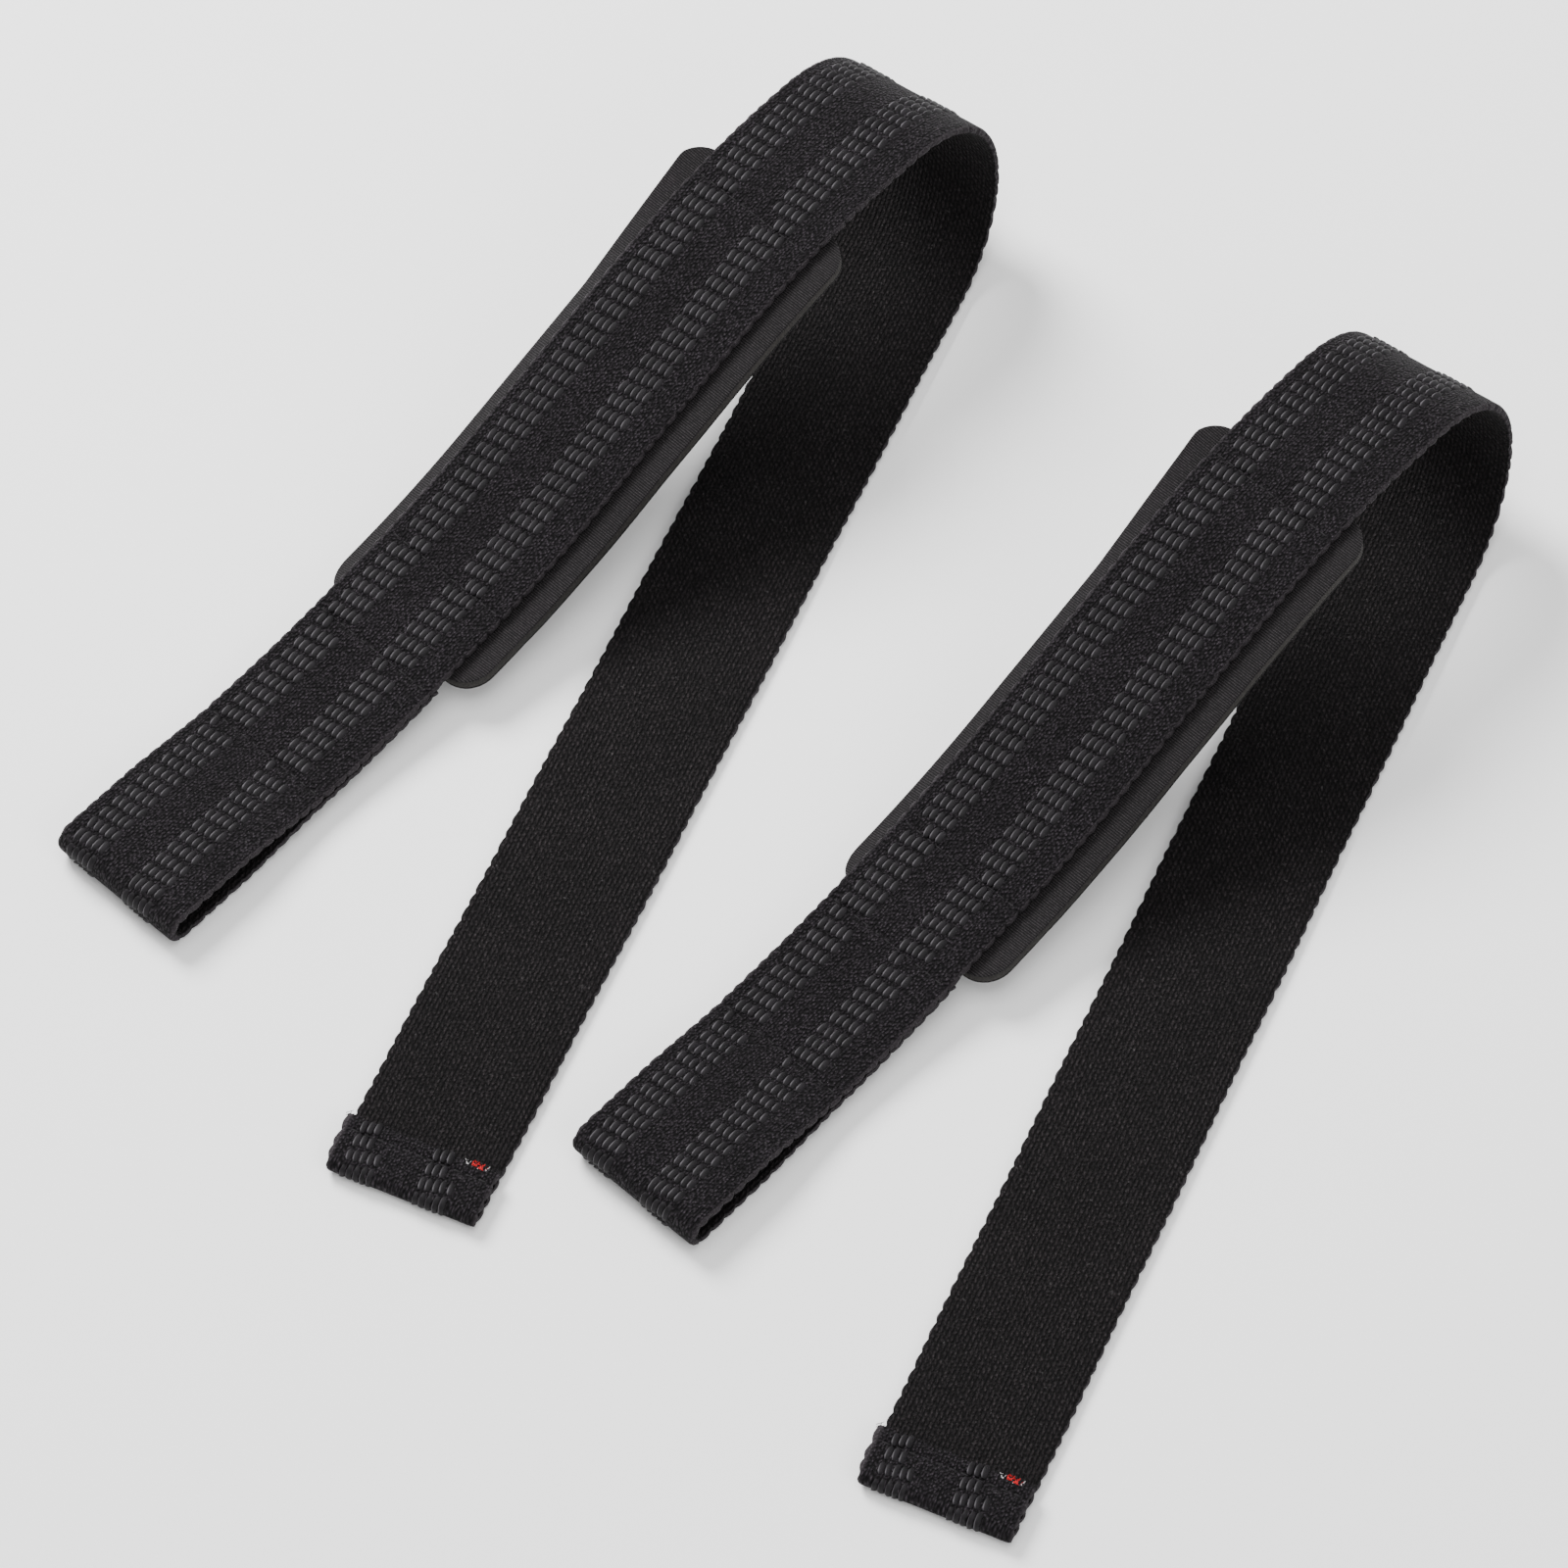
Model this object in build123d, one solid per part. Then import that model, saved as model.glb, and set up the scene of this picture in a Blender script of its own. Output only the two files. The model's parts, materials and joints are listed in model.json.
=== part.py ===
from build123d import *
import os
from math import cos, degrees, pi, radians, sin, tan

# A pair of padded lifting straps, lying on a table. Each is one long webbing strap: its wrist end is
# turned back and sewn to itself as a loop, a foam pad is sewn under the wrist leg, and the tail comes
# back underneath through one wide bend. Rubber cords are woven in two bands into the front face.
#
# Frame: +X runs along the axis of the bends, across the straps. +Y points from the free ends to the
# bends. +Z is up, and the table is the plane z = 0.
#
# A leg is built in its own straight frame, where the strap runs along -Y, and is then splayed. Its
# path is the middle of the webbing's thickness, seen from the side. To the left of a path is always
# the webbing's plain back face, and to its right the front face with the cords.

# ---- Driving dimensions, in millimetres and degrees ----

WEBBING_WIDTH = 38.0
WEBBING_THICKNESS = 2.2
STRAP_SPACING = 146.0
SPLAY = 9.4  # each leg's turn away from square to the bend, seen from above

TAIL_LENGTH = 282.0  # bend to the folded end
HEM_LENGTH = 12.0
HEM_SLACK = 0.1  # half the space between the hem and the tail under it
HEM_OVERHANG = 0.8  # how much the pressed hem spreads past the strap's left edge
HEM_ROW = 3.6  # cut edge to the stitches

BEND_RADIUS = 25.5  # at the middle of the webbing
BEND_LINKS = 4  # stiff lengths that stand for the soft bend
LINK_GAP = 0.3

LEG_LENGTH = 262.0  # bend to the loop's fold
LEG_LEVEL = 9.0  # level stretch off the top of the bend
STEEP_ARC = 50.0  # webbing that turns down into the steep stretch
SHALLOW_SLOPE = 9.0
SHALLOW_ARC = 40.0
SHALLOW_LENGTH = 19.6  # straight stretch at the shallow slope
LANDING_ARC = 36.0  # webbing that comes level at the loop

LOOP_LENGTH = 49.0  # hinge line of the mouth to the fold
LOOP_CLEARANCE = 5.2  # clear height of the mouth
LOOP_KINK = 3.0  # webbing that turns at each end of a slanting wall
DOUBLED_LENGTH = 41.0  # the end that is sewn back under the leg
MOUTH_ROW = 1.6  # mouth's hinge line to its stitches
DOUBLED_ROW = 2.4  # doubled end's cut edge to its stitches

PAD_START = 94.0  # from the loop's fold
PAD_TO_BEND = 27.0  # from the pad's far end
PAD_WIDTH = 51.0
PAD_CORNER = 8.0
PAD_COVER = 0.6
PAD_FOAM = 2.8
PAD_NEAR_ROW = 19.0  # pad's ends to their stitches
PAD_FAR_ROW = 8.0

CORD_WIDTH = 1.2
CORD_HEIGHT = 0.5
CORD_PITCH = 1.68
CORDS_IN_BAND = 5
LEFT_BAND_INSET = 7.8  # strap's edges to the middle of each band
RIGHT_BAND_INSET = 11.8
CORD_END_GAP = 0.8
ROW_GAP = 1.1  # cord's end to a row of stitches

STITCH_LENGTH = 2.4
STITCH_WIDTH = 0.7
STITCH_HEIGHT = 0.3
STITCH_PITCH = 3.2
STITCH_MARGIN = 2.8  # strap's edge to the middle of the first stitch

YARN_DIAMETER = 0.7
YARN_LENGTH = 1.6
YARN_PITCH = 1.3
YARN_INSET = 2.4  # strap's right edge to the first yarn end
YARNS = 5

# ---- Sizes that follow ----

HALF_WIDTH = WEBBING_WIDTH / 2
BACK = WEBBING_THICKNESS / 2
FRONT = -BACK
CORD_FACE = FRONT - CORD_HEIGHT
HEM_RADIUS = BACK + HEM_SLACK
FOLD_RADIUS = LOOP_CLEARANCE / 2 + BACK
FOLD_OUTSIDE = FOLD_RADIUS + BACK
PAD_LENGTH = LEG_LENGTH - PAD_START - PAD_TO_BEND
PAD_THICKNESS = PAD_FOAM + 2 * PAD_COVER

TAIL_HEIGHT = CORD_HEIGHT + BACK
BEND_HEIGHT = TAIL_HEIGHT + BEND_RADIUS
TOP_HEIGHT = BEND_HEIGHT + BEND_RADIUS
MOUTH_HEIGHT = TAIL_HEIGHT + FOLD_RADIUS

HINGE_TURN = 180 / (BEND_LINKS + 1)
BEND_SHIFT = -pi * BEND_RADIUS * tan(radians(SPLAY))
RULING_SPARE = HALF_WIDTH * tan(radians(SPLAY)) + 1.0
FAR = LEG_LENGTH + TAIL_LENGTH  # larger than the whole strap

TAIL_FRAME = Rot(0, 0, SPLAY)
LEG_FRAME = Pos(BEND_SHIFT, 0, 0) * Rot(0, 0, -SPLAY)
MOUTH_PLANE = Plane.XY.offset(MOUTH_HEIGHT)


# ---- Paths: lists of (length, turn). A turn of 0 is straight, and a positive turn goes left ----


def step(length, turn):
    """The move from one end of a stretch to the other."""
    if turn == 0:
        return Pos(length, 0)
    angle = radians(turn)
    radius = length / angle
    return Pos(radius * sin(angle), radius * (1 - cos(angle))) * Rot(0, 0, turn)


def fall(arc, first, last):
    """How far a path goes down while it turns from one slope to another over an arc."""
    first, last = radians(first), radians(last)
    return arc * (cos(first) - cos(last)) / (last - first)


def part_of(path, start, end):
    """The pose at a distance along a path, and the stretches from there to another distance."""
    pose, at, first, kept = path[0], 0.0, None, []
    for length, turn in path[1:]:
        low, high = max(start, at), min(end, at + length)
        if high > low:
            first = first or pose * step(low - at, turn * (low - at) / length)
            kept.append((high - low, turn * (high - low) / length))
        pose = pose * step(length, turn)
        at += length
    return first, kept


def pose_at(path, distance):
    """The pose at a distance along a path, as a place in the leg's frame: x along it, y to its back."""
    return Plane.YZ * part_of(path, distance, distance + 1)[0]


def steep_length():
    """What the leg's other stretches leave for the straight one at the steep slope."""
    curves = STEEP_ARC + SHALLOW_ARC + LANDING_ARC
    return LEG_LENGTH - LOOP_LENGTH - LEG_LEVEL - SHALLOW_LENGTH - curves


def leg_fall(steep_slope):
    """How far the leg comes down between the top of the bend and the loop."""
    curves = fall(STEEP_ARC, 0, steep_slope) + fall(SHALLOW_ARC, steep_slope, SHALLOW_SLOPE)
    curves += fall(LANDING_ARC, SHALLOW_SLOPE, 0)
    straights = steep_length() * sin(radians(steep_slope)) + SHALLOW_LENGTH * sin(radians(SHALLOW_SLOPE))
    return curves + straights


def steep_slope():
    """The steep slope that brings the leg down to the loop, found by halving the range that holds it."""
    low, high = SHALLOW_SLOPE, 80.0
    for _ in range(60):
        middle = (low + high) / 2
        if leg_fall(middle) < TOP_HEIGHT - MOUTH_HEIGHT - BACK:
            low = middle
        else:
            high = middle
    return middle


def leg_path():
    """Down the wrist leg from just before the bend's end, then along the loop's upper wall to its fold."""
    steep = steep_slope()
    half_wall = LOOP_LENGTH / 2
    slant = degrees(LOOP_CLEARANCE / 2 / (half_wall - LOOP_KINK))
    return [
        Pos(RULING_SPARE, TOP_HEIGHT) * Rot(0, 0, 180),
        (RULING_SPARE + LEG_LEVEL, 0),
        (STEEP_ARC, steep),
        (steep_length(), 0),
        (SHALLOW_ARC, SHALLOW_SLOPE - steep),
        (SHALLOW_LENGTH, 0),
        (LANDING_ARC, -SHALLOW_SLOPE),
        (LOOP_KINK, -slant),
        (half_wall - 2 * LOOP_KINK, 0),
        (LOOP_KINK, slant),
        (half_wall - FOLD_OUTSIDE, 0),
        (pi / 2 * FOLD_RADIUS, 90),
    ]


def tail_path():
    """From the hem's cut edge, round its fold, and along the tail to the bend."""
    return [
        Pos(HEM_LENGTH - TAIL_LENGTH, TAIL_HEIGHT + 2 * HEM_RADIUS) * Rot(0, 0, 180),
        (HEM_LENGTH, 0),
        (pi * HEM_RADIUS, 180),
        (TAIL_LENGTH + RULING_SPARE, 0),
    ]


LEG = leg_path()
TAIL = tail_path()
HEM_FOLD_END = HEM_LENGTH + pi * HEM_RADIUS
LEG_END = RULING_SPARE + LEG_LENGTH - FOLD_OUTSIDE  # where the fold's curve begins
FOLD_APEX = LEG_END + pi / 2 * FOLD_RADIUS
MOUTH = RULING_SPARE + LEG_LENGTH - LOOP_LENGTH
MID_WALL = MOUTH + LOOP_LENGTH / 2


def up_leg(distance):
    """A distance from the loop's fold up the leg, as a distance along the leg's path."""
    return RULING_SPARE + LEG_LENGTH - distance


# ---- Solids that follow a path ----


def side_view(pose, stretches, low, high):
    """The outline of a layer between two distances to the left of a path, negative to its right."""
    edges = {low: [], high: []}
    for length, turn in stretches:
        for off, run in edges.items():
            if turn == 0:
                edge = Line((0, off), (length, off))
            else:
                radius = length / radians(turn)
                edge = CenterArc((0, radius), abs(radius - off), -90 if turn > 0 else 90, turn)
            run.append(pose * edge)
        pose = pose * step(length, turn)
    ends = [Line(edges[low][0] @ 0, edges[high][0] @ 0), Line(edges[low][-1] @ 1, edges[high][-1] @ 1)]
    return make_face(edges[low] + edges[high] + ends)


def layer(path, start, end, low, high, left=-HALF_WIDTH, right=HALF_WIDTH):
    """Part of a path given a thickness, from low to high, and a width, from left to right."""
    face = Plane.YZ * side_view(*part_of(path, start, end), low, high)
    return Pos(left, 0, 0) * extrude(face, right - left, dir=(1, 0, 0))


def off_the_bend(leg):
    """Cuts a splayed leg along the plane y = 0, where the bend begins, and keeps the -Y side."""
    return split(leg, bisect_by=Plane.XZ, keep=Keep.TOP)


def bend(start, end, low, high, left=-HALF_WIDTH, right=HALF_WIDTH, facing=None):
    """Part of the bend, between two turns from its lower end. Its edges are cut along the strap.

    facing is the turn at which the cuts are exactly along the strap, and its middle if not given.
    """
    facing = (start + end) / 2 if facing is None else facing
    sector = side_view(Pos(0, TAIL_HEIGHT) * step(radians(start) * BEND_RADIUS, start),
                       [(radians(end - start) * BEND_RADIUS, end - start)], low, high)
    ring = Pos(-FAR / 2, 0, 0) * extrude(Plane.YZ * sector, FAR, dir=(1, 0, 0))
    along = radians(facing)
    at = (-tan(radians(SPLAY)) * BEND_RADIUS * along, BEND_RADIUS * sin(along),
          BEND_HEIGHT - BEND_RADIUS * cos(along))
    across = (cos(radians(SPLAY)), sin(radians(SPLAY)) * cos(along), sin(radians(SPLAY)) * sin(along))
    strap = Plane(at, x_dir=across, z_dir=(0, -sin(along), cos(along)))
    return ring & strap * Pos((left + right) / 2, 0, 0) * Box(right - left, FAR, FAR)


def all_cords(cord, *reach):
    """Both bands of cords. cord makes one, from its reach, its two faces and its two edges."""
    made = []
    for middle in (LEFT_BAND_INSET - HALF_WIDTH, HALF_WIDTH - RIGHT_BAND_INSET):
        for number in range(CORDS_IN_BAND):
            left = middle + (number - (CORDS_IN_BAND - 1) / 2) * CORD_PITCH - CORD_WIDTH / 2
            made += cord(*reach, CORD_FACE, FRONT, left, left + CORD_WIDTH).solids()
    return made


def stitches(path, distance, off):
    """A row of stitches across the strap, lying on the face that is off the path by this much."""
    side = 1 if off > 0 else -1
    first = STITCH_MARGIN - HALF_WIDTH
    count = round(-2 * first / STITCH_PITCH)
    pitch = -2 * first / count
    place = pose_at(path, distance) * Pos(0, off + side * STITCH_HEIGHT / 2, first)
    stitch = Box(STITCH_WIDTH, STITCH_HEIGHT, STITCH_LENGTH)
    return [place * Pos(0, 0, number * pitch) * stitch for number in range(count + 1)]


# ---- The tail and its hem ----

TAIL_TURN = HINGE_TURN / 2  # the tail's share of the bend
HALF_GAP = degrees(LINK_GAP / 2 / BEND_RADIUS)
CORD_GAP = degrees(CORD_END_GAP / BEND_RADIUS)


def tail_layer(start, gap, low, high, left=-HALF_WIDTH, right=HALF_WIDTH):
    """A layer of the tail, from a distance along its path up to a gap before the first hinge."""
    flat = TAIL_FRAME * layer(TAIL, start, FAR, low, high, left, right)
    return off_the_bend(flat) + bend(0, TAIL_TURN - gap, low, high, left, right, facing=0)


def make_tail():
    hem = layer(TAIL, 0, HEM_FOLD_END, FRONT, BACK, left=-HALF_WIDTH - HEM_OVERHANG)
    hem_cords = all_cords(lambda *cord: layer(TAIL, *cord), CORD_END_GAP, HEM_ROW - ROW_GAP)
    hem_cords += all_cords(lambda *cord: layer(TAIL, *cord), HEM_ROW + ROW_GAP, HEM_FOLD_END)
    under_row = 2 * HEM_LENGTH + pi * HEM_RADIUS - HEM_ROW
    tail_cords = all_cords(lambda *cord: TAIL_FRAME * layer(TAIL, *cord),
                           HEM_FOLD_END + CORD_END_GAP, under_row - ROW_GAP)
    tail_cords += all_cords(tail_layer, under_row + ROW_GAP, HALF_GAP + CORD_GAP)
    rows = stitches(TAIL, HEM_ROW, FRONT) + stitches(TAIL, under_row, FRONT)
    yarn = pose_at(TAIL, 0) * Pos(-YARN_LENGTH / 2, 0, 0) * Rot(0, 90, 0)
    yarn_end = Cylinder(YARN_DIAMETER / 2, YARN_LENGTH)
    yarns = [HALF_WIDTH - YARN_INSET - number * YARN_PITCH for number in range(YARNS)]
    return {
        "tail_webbing": [tail_layer(HEM_FOLD_END, HALF_GAP, FRONT, BACK)],
        "tail_cords": tail_cords,
        "hem": [TAIL_FRAME * hem],
        "hem_cords": [TAIL_FRAME * cord for cord in hem_cords],
        "hem_stitching": [TAIL_FRAME * stitch for stitch in rows],
        "marker_yarns": [TAIL_FRAME * Pos(across, 0, 0) * yarn * yarn_end for across in yarns],
    }


# ---- The bend: links with hinges on the front face, so that opening it only opens gaps ----


def make_bend():
    made = {}
    for number in range(BEND_LINKS):
        start = TAIL_TURN + number * HINGE_TURN
        end = start + HINGE_TURN
        cord_gap = HALF_GAP + CORD_GAP
        made[f"bend_link_{number + 1}"] = [bend(start + HALF_GAP, end - HALF_GAP, FRONT, BACK)]
        made[f"bend_cords_{number + 1}"] = all_cords(bend, start + cord_gap, end - cord_gap)
    return made


# ---- The wrist leg, its doubled end and its pad ----


def leg_layer(gap, end, low, high, left=-HALF_WIDTH, right=HALF_WIDTH):
    """A layer of the wrist leg, from a gap after the last hinge to a distance along its path."""
    splayed = LEG_FRAME * layer(LEG, 0, end, low, high, left, right)
    top = bend(180 - TAIL_TURN + gap, 180, low, high, left, right, facing=180)
    return off_the_bend(splayed) + top


def pad_sheet(low, high):
    """One layer of the pad, with its corners rounded."""
    ends = [up_leg(PAD_START + PAD_LENGTH), up_leg(PAD_START)]
    first, last = (pose_at(LEG, distance).position.Y for distance in ends)
    outline = Pos(0, (first + last) / 2, 0) * RectangleRounded(PAD_WIDTH, first - last, PAD_CORNER)
    sheet = layer(LEG, ends[0] - PAD_CORNER, ends[1] + PAD_CORNER, low, high, -PAD_WIDTH, PAD_WIDTH)
    return LEG_FRAME * (sheet & extrude(outline, 2 * TOP_HEIGHT))


def make_wrist():
    doubled_end = up_leg(LOOP_LENGTH + DOUBLED_LENGTH)
    doubled_back = BACK + WEBBING_THICKNESS
    pad_back = BACK + PAD_THICKNESS
    mouth_row = MOUTH - MOUTH_ROW
    doubled_row = doubled_end + DOUBLED_ROW
    near_row = up_leg(PAD_START + PAD_NEAR_ROW)
    far_row = up_leg(PAD_START + PAD_LENGTH - PAD_FAR_ROW)

    cords = all_cords(leg_layer, HALF_GAP + CORD_GAP, far_row - ROW_GAP)
    rows = (far_row, near_row, doubled_row, mouth_row)
    for start, end in zip(rows, rows[1:]):
        cords += all_cords(lambda *cord: LEG_FRAME * layer(LEG, *cord), start + ROW_GAP, end - ROW_GAP)

    def under_cord(start, end, low, high, left, right):
        return LEG_FRAME * layer(LEG, start, end, doubled_back, doubled_back + high - low, left, right)

    cords += all_cords(under_cord, doubled_row + ROW_GAP, mouth_row - ROW_GAP)
    loop_rows = stitches(LEG, mouth_row, FRONT) + stitches(LEG, doubled_row, FRONT)
    loop_rows += stitches(LEG, mouth_row, doubled_back) + stitches(LEG, doubled_row, doubled_back)
    pad_rows = stitches(LEG, near_row, FRONT) + stitches(LEG, far_row, FRONT)
    pad_rows += stitches(LEG, near_row, pad_back) + stitches(LEG, far_row, pad_back)
    return {
        "wrist_webbing": [leg_layer(HALF_GAP, MOUTH - LINK_GAP / 2, FRONT, BACK)],
        "wrist_cords": cords,
        "doubled_end": [LEG_FRAME * layer(LEG, doubled_end, MOUTH - LINK_GAP / 2, BACK, doubled_back)],
        "pad_cover": [pad_sheet(BACK, BACK + PAD_COVER)],
        "pad_foam": [pad_sheet(BACK + PAD_COVER, pad_back - PAD_COVER)],
        "pad_lining": [pad_sheet(pad_back - PAD_COVER, pad_back)],
        "loop_stitching": [LEG_FRAME * stitch for stitch in loop_rows],
        "pad_stitching": [LEG_FRAME * stitch for stitch in pad_rows],
    }


# ---- The loop: two walls that open about the mouth's stitches. The lower mirrors the upper ----


def make_loop():
    gap = LINK_GAP / 2
    cord_gap = gap + CORD_END_GAP
    made = {}
    spans = {"near": (MOUTH, MID_WALL), "far": (MID_WALL, FOLD_APEX)}
    for name, (start, end) in spans.items():
        webbing = [layer(LEG, start + gap, end - gap, FRONT, BACK)]
        cords = all_cords(lambda *cord: layer(LEG, *cord), start + cord_gap, end - cord_gap)
        for piece, upper in ((name, webbing), (f"{name}_cords", cords)):
            made[f"loop_upper_{piece}"] = [LEG_FRAME * solid for solid in upper]
            lower = [mirror(solid, about=MOUTH_PLANE) for solid in upper]
            made[f"loop_lower_{piece}"] = [LEG_FRAME * solid for solid in lower]
    return made


# ---- Hinges, as (place, axis) in the strap's frame ----


def bend_hinges():
    """From the tail to the leg. Each lies on the webbing's front face, along the bend's axis."""
    outside = BEND_RADIUS - FRONT
    turns = [radians(TAIL_TURN + number * HINGE_TURN) for number in range(BEND_LINKS + 1)]
    shift = tan(radians(SPLAY)) * BEND_RADIUS
    return [Vector(-shift * turn, outside * sin(turn), BEND_HEIGHT - outside * cos(turn)) for turn in turns]


def loop_hinges():
    """The upper wall's hinge at the mouth, on its front face, and at its middle, on its back face."""
    places = (pose_at(LEG, MOUTH) * Pos(0, FRONT, 0), pose_at(LEG, MID_WALL) * Pos(0, BACK, 0))
    return [(LEG_FRAME * place).position for place in places]


# ---- The pair ----


def make_strap():
    return {**make_tail(), **make_bend(), **make_wrist(), **make_loop()}


def places(strap):
    """Where the two straps stand: side by side, with the middle of the pair over the origin."""
    box = Compound([solid for piece in strap.values() for solid in piece]).bounding_box()
    middle = box.center()
    return {
        "left": Pos(-middle.X - STRAP_SPACING / 2, -middle.Y, 0),
        "right": Pos(-middle.X + STRAP_SPACING / 2, -middle.Y, 0),
    }


def main():
    strap = make_strap()
    os.makedirs("parts", exist_ok=True)
    for side, place in places(strap).items():
        for name, pieces in strap.items():
            solids = [place * solid for piece in pieces for solid in piece.solids()]
            export_step(solids[0] if len(solids) == 1 else Compound(solids), f"parts/{side}_{name}.step")


if __name__ == "__main__":
    main()
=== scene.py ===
# %% [markdown]
# # A pair of padded lifting straps
#
# Each strap is one long piece of black webbing. Its wrist end is turned back and sewn to itself as a
# loop, a foam pad is sewn under the wrist leg, and the tail comes back underneath through one wide
# bend. Rubber cords are woven into the front face, and float over it in small raised grains.
#
# The imported model gives the places of the joints, so everything here is laid on the same lines as the
# solid parts.

# %% Load the frame
import json
from math import atan2, cos, degrees, pi, radians, sin, tan

import bmesh
import bpy
import numpy as np
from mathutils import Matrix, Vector


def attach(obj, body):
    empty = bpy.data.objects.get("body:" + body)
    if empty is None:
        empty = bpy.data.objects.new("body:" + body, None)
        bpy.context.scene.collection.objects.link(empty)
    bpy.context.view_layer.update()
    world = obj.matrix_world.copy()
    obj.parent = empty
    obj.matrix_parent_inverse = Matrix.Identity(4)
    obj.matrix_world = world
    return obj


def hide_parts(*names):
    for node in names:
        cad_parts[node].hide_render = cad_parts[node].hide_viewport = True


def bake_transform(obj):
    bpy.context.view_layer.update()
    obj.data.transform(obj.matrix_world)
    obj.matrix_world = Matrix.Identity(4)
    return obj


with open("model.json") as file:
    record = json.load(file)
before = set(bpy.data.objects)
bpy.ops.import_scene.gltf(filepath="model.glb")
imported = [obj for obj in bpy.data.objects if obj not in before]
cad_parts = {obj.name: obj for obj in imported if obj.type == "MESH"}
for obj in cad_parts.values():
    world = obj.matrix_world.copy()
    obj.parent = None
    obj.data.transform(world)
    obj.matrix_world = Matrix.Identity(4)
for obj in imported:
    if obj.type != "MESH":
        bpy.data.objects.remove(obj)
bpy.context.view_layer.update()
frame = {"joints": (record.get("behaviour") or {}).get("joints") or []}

joints = {joint["name"]: joint for joint in frame["joints"]}
rng = np.random.default_rng(11)

# %% [markdown]
# ## Camera
#
# The straps are seen from above and a little to one side, from a long way off, so that their edges
# stay nearly parallel. A long lens does that. The camera is placed by its two angles and its distance
# from a point on the table between the straps, then turned to look at that point.

# %% Camera
def from_angles(azimuth, elevation):
    """The direction from the straps towards a place at these angles."""
    turn, rise = radians(azimuth), radians(elevation)
    return Vector((sin(turn) * cos(rise), -cos(turn) * cos(rise), sin(rise)))


CAMERA_AZIMUTH, CAMERA_ELEVATION, CAMERA_DISTANCE = 33.4, 58.9, 2.0  # degrees, degrees, metres
SENSOR_WIDTH, LENS = 36.0, 196.2675  # millimetres
aim = Vector((-0.0039, -0.0197, 0.020))
camera = bpy.data.objects.new("camera", bpy.data.cameras.new("camera"))
bpy.context.scene.collection.objects.link(camera)
camera.location = aim + from_angles(CAMERA_AZIMUTH, CAMERA_ELEVATION) * CAMERA_DISTANCE
camera.rotation_euler = (camera.location - aim).to_track_quat("Z", "Y").to_euler()
camera.data.sensor_width = SENSOR_WIDTH
camera.data.lens = LENS
camera.data.clip_end = 20.0
bpy.context.scene.camera = camera
print("lens", round(camera.data.lens, 1), "mm")

# %% [markdown]
# ## Table and light
#
# Black cloth shows its weave only by the light that slides over it. So the main light stands on the
# left, behind the straps, and is rather low. A weaker one fills in from the right, and a broad one
# hangs overhead to soften the shadows. The table is a plain pale sheet that curves up at the back. It
# is a plane whose far edge is extruded upwards, and the fold is bevelled in many steps, so that no
# line shows behind the straps.

# %% Helpers for modelling by hand
def deselect():
    """Lets go of everything, because an operator acts on all that is selected."""
    if bpy.context.mode != "OBJECT":
        bpy.ops.object.mode_set(mode="OBJECT")
    bpy.ops.object.select_all(action="DESELECT")


def pick(piece):
    """Makes one piece the only one selected."""
    deselect()
    piece.select_set(True)
    bpy.context.view_layer.objects.active = piece


def new_piece(name):
    """Names the primitive that was just added."""
    piece = bpy.context.active_object
    piece.name = piece.data.name = name
    return piece


def choose(piece, kind, test):
    """Goes into edit mode with only the faces, edges or vertices selected whose middle passes a test."""
    pick(piece)
    bpy.ops.object.mode_set(mode="EDIT")
    bpy.ops.mesh.select_mode(type=kind)
    bpy.ops.mesh.select_all(action="DESELECT")
    mesh = bmesh.from_edit_mesh(piece.data)
    parts = {"FACE": mesh.faces, "EDGE": mesh.edges, "VERT": mesh.verts}[kind]
    for part in parts:
        middle = part.co if kind == "VERT" else sum((v.co for v in part.verts), Vector()) / len(part.verts)
        part.select_set(bool(test(middle)))
    mesh.select_flush_mode()
    bmesh.update_edit_mesh(piece.data)


def finish_with(piece, kind, **settings):
    """Adds a modifier and applies it."""
    pick(piece)
    modifier = piece.modifiers.new(kind.lower(), kind)
    for name, value in settings.items():
        setattr(modifier, name, value)
    bpy.ops.object.modifier_apply(modifier=modifier.name)
    return piece


def place_in_mesh(piece):
    """Puts the piece's place, turn and size into its mesh, so that its object sits at the origin."""
    pick(piece)
    bpy.ops.object.transform_apply(location=True, rotation=True, scale=True)
    return piece


def smooth(piece, angle=50):
    pick(piece)
    bpy.ops.object.shade_smooth_by_angle(angle=radians(angle))
    return piece


# %% Table
TABLE_SIZE, WALL_HEIGHT, COVE = 6.0, 3.0, 1.5  # metres
far_side = TABLE_SIZE / 2 - 0.1
deselect()
bpy.ops.mesh.primitive_plane_add(size=TABLE_SIZE, location=(0, 0, 0))
table = new_piece("table")
choose(table, "EDGE", lambda at: at.y > far_side)
bpy.ops.mesh.extrude_region_move(TRANSFORM_OT_translate={"value": (0, 0, WALL_HEIGHT)})
choose(table, "EDGE", lambda at: at.y > far_side and abs(at.z) < 0.01)
bpy.ops.mesh.bevel(offset=COVE, segments=24, affect="EDGES")
deselect()
smooth(table)
paper = bpy.data.materials.new("pale_paper")
paper.use_nodes = True
paper_shader = paper.node_tree.nodes["Principled BSDF"]
paper_shader.inputs["Base Color"].default_value = (0.93, 0.93, 0.93, 1)
paper_shader.inputs["Roughness"].default_value = 0.9
table.data.materials.append(paper)
print("table faces", len(table.data.polygons))


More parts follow.
